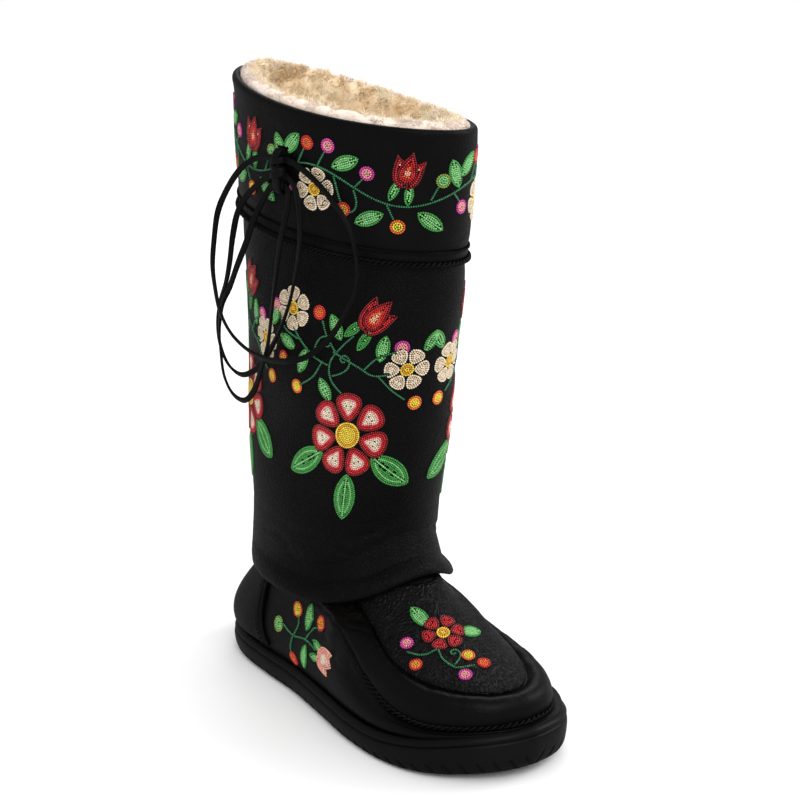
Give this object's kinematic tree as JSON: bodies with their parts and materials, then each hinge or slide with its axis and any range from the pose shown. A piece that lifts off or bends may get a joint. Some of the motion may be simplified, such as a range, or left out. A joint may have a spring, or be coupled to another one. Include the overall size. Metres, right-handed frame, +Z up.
{
  "type": "mukluk boot",
  "caption": "Tall right leather boot with a moccasin foot, cupped rubber sole, puffed shaft, wide cuff, sheepskin lining and a looped leather tie.",
  "frame": {"origin": "floor under the middle of the boot's outline", "axes": "+Z up, -Y towards the toe, -X towards the boot's outer side"},
  "size_m": [0.1209, 0.29, 0.3888],
  "materials": {
    "sole_rubber": "matt",
    "foot_leather": "satin",
    "apron_leather": "grained satin",
    "counter_leather": "satin",
    "footbed_fleece": "woolly",
    "shaft_leather": "soft grain",
    "cuff_leather": "soft grain",
    "sheepskin": "woolly",
    "tie_leather": "soft",
    "loop_leather": "soft"
  },
  "bodies": {
    "root": {"outsole": "sole_rubber", "upper": "foot_leather", "apron": "apron_leather", "heel_counter": "counter_leather", "insole": "footbed_fleece", "shaft": "shaft_leather", "cuff": "cuff_leather", "fleece_lining": "sheepskin", "tie_bar": "tie_leather", "tie_loop_wide": "loop_leather", "tie_loop_narrow": "loop_leather", "tie_loop_long": "loop_leather"}
  },
  "joints": []
}
